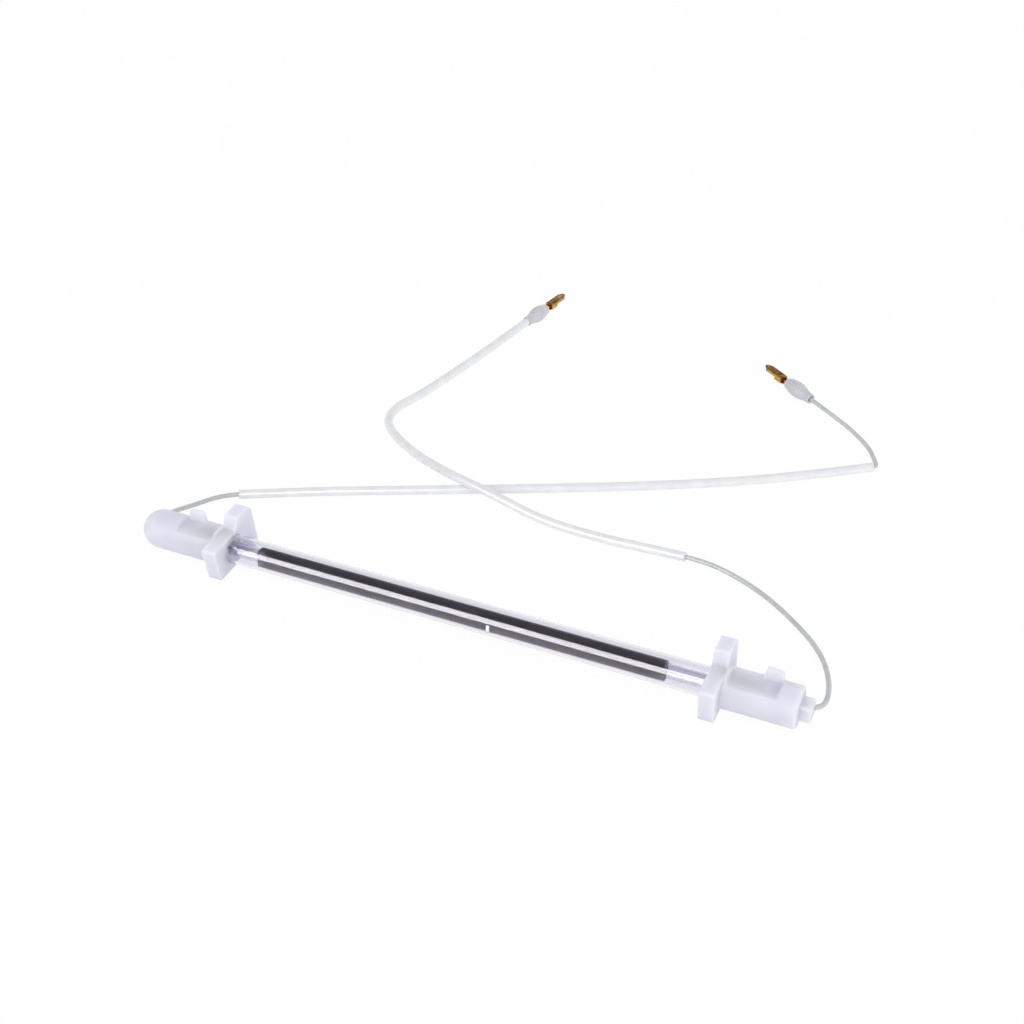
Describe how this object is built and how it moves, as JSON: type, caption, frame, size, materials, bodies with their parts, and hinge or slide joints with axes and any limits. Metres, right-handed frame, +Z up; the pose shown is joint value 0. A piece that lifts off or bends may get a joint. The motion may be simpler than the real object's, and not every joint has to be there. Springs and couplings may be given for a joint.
{
  "type": "glass tube heating element",
  "caption": "Glass tube heater with a close-wound coil around an inner glass tube, translucent silicone end caps with flange plates, and sleeved leads that end in brass terminals.",
  "frame": {"origin": "centre of the footprint of the tube and its two caps, on the surface that they lie on", "axes": "+X along the glass tube towards the cap with the flat end and nub, +Z up, -Y towards the low side of the flange plates"},
  "size_m": [0.3142, 0.3027, 0.023],
  "materials": {
    "clear_glass": "clear polished",
    "resistance_wire": "dark oxidised wire",
    "saddle_ceramic": "matt",
    "crimp_steel": "plain pressed steel",
    "tinned_copper": "tinned",
    "cap_silicone": "translucent satin",
    "bush_silicone": "translucent satin",
    "lead_insulation": "satin",
    "sleeve_fibre": "varnished fibre, glossy",
    "boot_silicone": "translucent satin",
    "terminal_brass": "bright pressed brass"
  },
  "bodies": {
    "root": {"outer_glass_tube": "clear_glass", "inner_glass_tube": "clear_glass", "left_tube_bush": "bush_silicone", "right_tube_bush": "bush_silicone", "heating_coil": "resistance_wire", "coil_saddle": "saddle_ceramic", "left_crimp_sleeve": "crimp_steel", "right_crimp_sleeve": "crimp_steel", "left_core_at_coil": "tinned_copper", "right_core_at_coil": "tinned_copper", "left_end_cap": "cap_silicone", "right_end_cap": "cap_silicone", "left_lead_wire": "lead_insulation", "right_lead_wire": "lead_insulation", "left_lead_sleeve": "sleeve_fibre", "right_lead_sleeve": "sleeve_fibre", "left_terminal_boot": "boot_silicone", "right_terminal_boot": "boot_silicone", "left_core_at_terminal": "tinned_copper", "right_core_at_terminal": "tinned_copper", "left_terminal": "terminal_brass", "right_terminal": "terminal_brass"}
  },
  "joints": []
}
